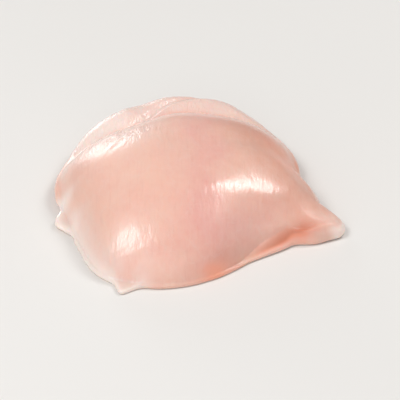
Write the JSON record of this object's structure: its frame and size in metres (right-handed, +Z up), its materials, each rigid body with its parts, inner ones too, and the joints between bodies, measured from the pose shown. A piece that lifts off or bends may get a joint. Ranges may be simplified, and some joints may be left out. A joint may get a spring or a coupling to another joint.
{
  "type": "boneless chicken thigh",
  "caption": "Raw boneless, skinless chicken thigh lying smooth side up: a domed muscle with a tapering tail, a rolled back rim and thin trimmed edges.",
  "frame": {"origin": "centre of the thigh's bounding box from above, on the plane it lies on", "axes": "+Z up out of the domed smooth side, which is also the thickness; -Y towards the pointed front corner; +X towards the tail"},
  "size_m": [0.1074, 0.1112, 0.0263],
  "materials": {
    "raw_chicken_meat": "wet, softly glossy raw poultry"
  },
  "bodies": {
    "root": {"chicken_thigh": "raw_chicken_meat"}
  },
  "joints": []
}
